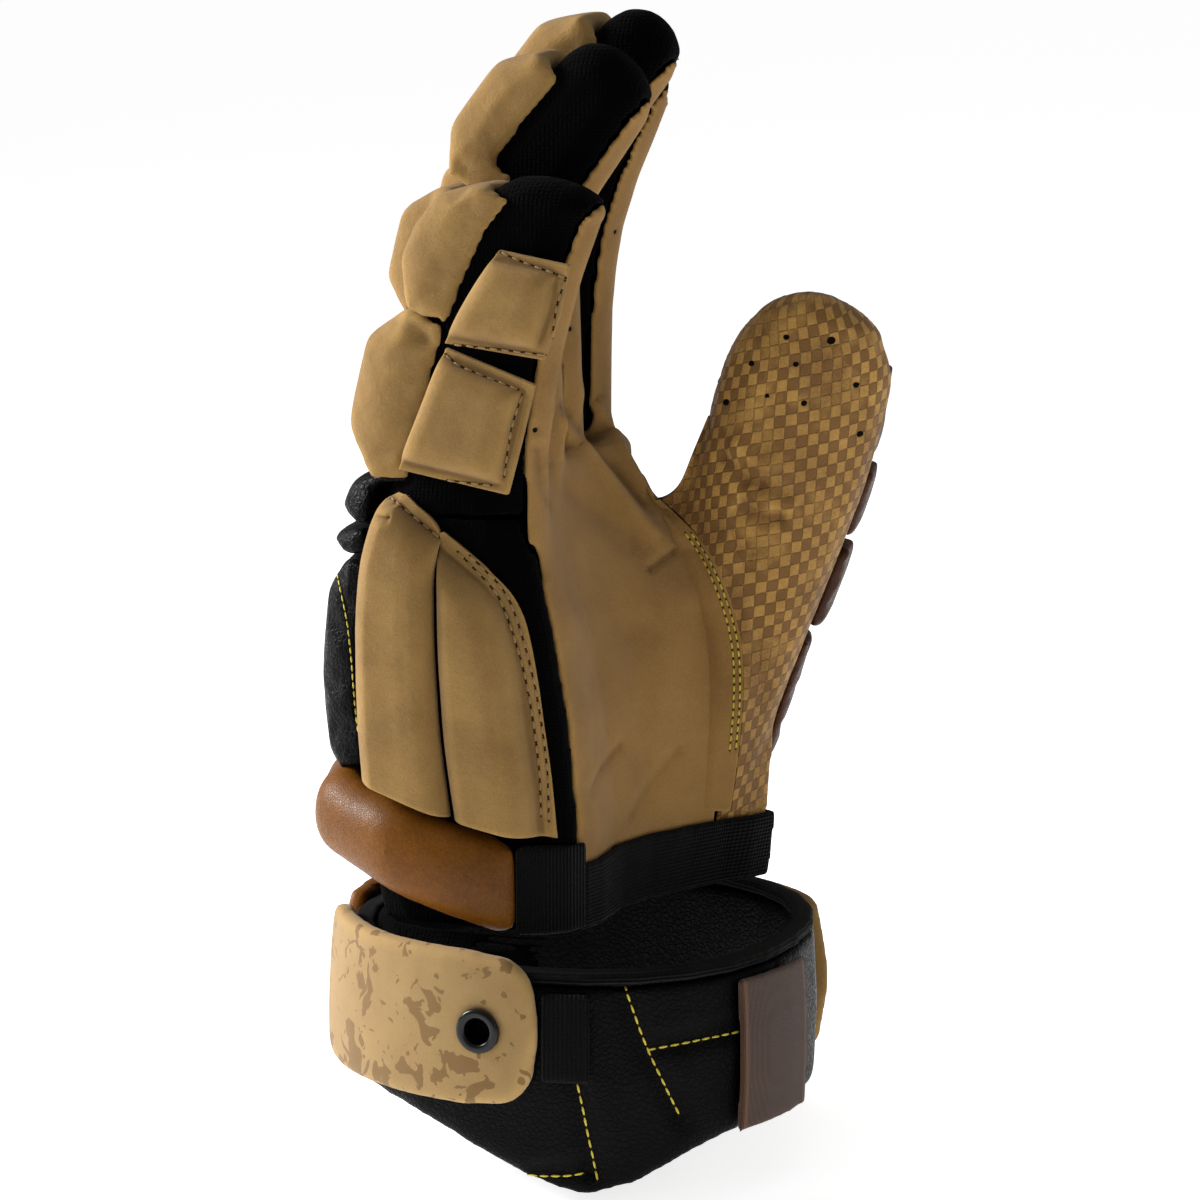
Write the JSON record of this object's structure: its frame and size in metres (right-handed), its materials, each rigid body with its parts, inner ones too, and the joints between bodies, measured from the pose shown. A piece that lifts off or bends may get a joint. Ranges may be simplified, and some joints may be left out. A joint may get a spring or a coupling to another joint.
{
  "type": "lacrosse glove",
  "caption": "Right-hand padded lacrosse glove: leather palm and thumb, knit fingers, segmented back pads and a flared cuff, open for a hand.",
  "frame": {"origin": "middle of the wrist opening, level with the lower edge of the palm leather", "axes": "+Z to the fingertips, +X out of the palm, +Y from the little finger to the thumb"},
  "size_m": [0.1492, 0.1459, 0.3246],
  "materials": {
    "tan_suede": "brushed microsuede",
    "palm_leather": "smooth synthetic suede",
    "check_leather": "embossed checks",
    "brown_leather": "satin grain",
    "black_leather": "pebbled grain",
    "black_knit": "open knit",
    "webbing": "ribbed tape",
    "label_weave": "woven, bare",
    "printed_plate": "mottled print",
    "eyelet_enamel": "black enamel",
    "yellow_thread": "twisted thread",
    "tan_thread": "twisted thread"
  },
  "bodies": {
    "root": {"palm_leather": "palm_leather", "thumb_leather": "check_leather", "thumb_sleeve": "black_knit", "hand_liner": "black_knit", "pinky_sleeve": "black_knit", "ring_sleeve": "black_knit", "middle_sleeve": "black_knit", "index_sleeve": "black_knit", "pinky_side_pad_1": "tan_suede", "pinky_side_pad_2": "tan_suede", "index_side_pad_1": "tan_suede", "index_side_pad_2": "tan_suede", "index_side_pad_3": "tan_suede", "pinky_pad_1": "tan_suede", "pinky_pad_2": "tan_suede", "ring_pad_1": "tan_suede", "ring_pad_2": "tan_suede", "ring_pad_3": "tan_suede", "middle_pad_1": "tan_suede", "middle_pad_2": "tan_suede", "middle_pad_3": "tan_suede", "index_pad_1": "tan_suede", "index_pad_2": "tan_suede", "index_pad_3": "tan_suede", "thumb_pad_1": "brown_leather", "thumb_pad_2": "brown_leather", "thumb_pad_3": "brown_leather", "thumb_pad_4": "brown_leather", "wrist_bar": "brown_leather", "wrist_tab_pinky": "webbing", "wrist_tab_index": "webbing", "flank_roll_back": "tan_suede", "flank_roll_front": "tan_suede", "flank_roll_index": "tan_suede", "back_pad_ulnar": "black_leather", "flex_pad_ulnar": "black_leather", "back_pad_middle": "black_leather", "flex_pad_middle": "black_leather", "back_pad_radial": "black_leather", "flex_pad_radial": "black_leather", "knuckle_pad_pinky": "black_leather", "knuckle_pad_ring": "black_leather", "knuckle_pad_middle": "black_leather", "knuckle_pad_index": "black_leather", "palm_hem": "webbing", "cuff_wrap": "black_leather", "cuff_binding": "webbing", "cuff_plate_pinky": "printed_plate", "cuff_plate_back": "brown_leather", "cuff_plate_thumb": "tan_suede", "cuff_eyelet": "eyelet_enamel", "cuff_label": "label_weave", "cuff_strap": "webbing", "cuff_gusset": "black_knit"}
  },
  "joints": []
}
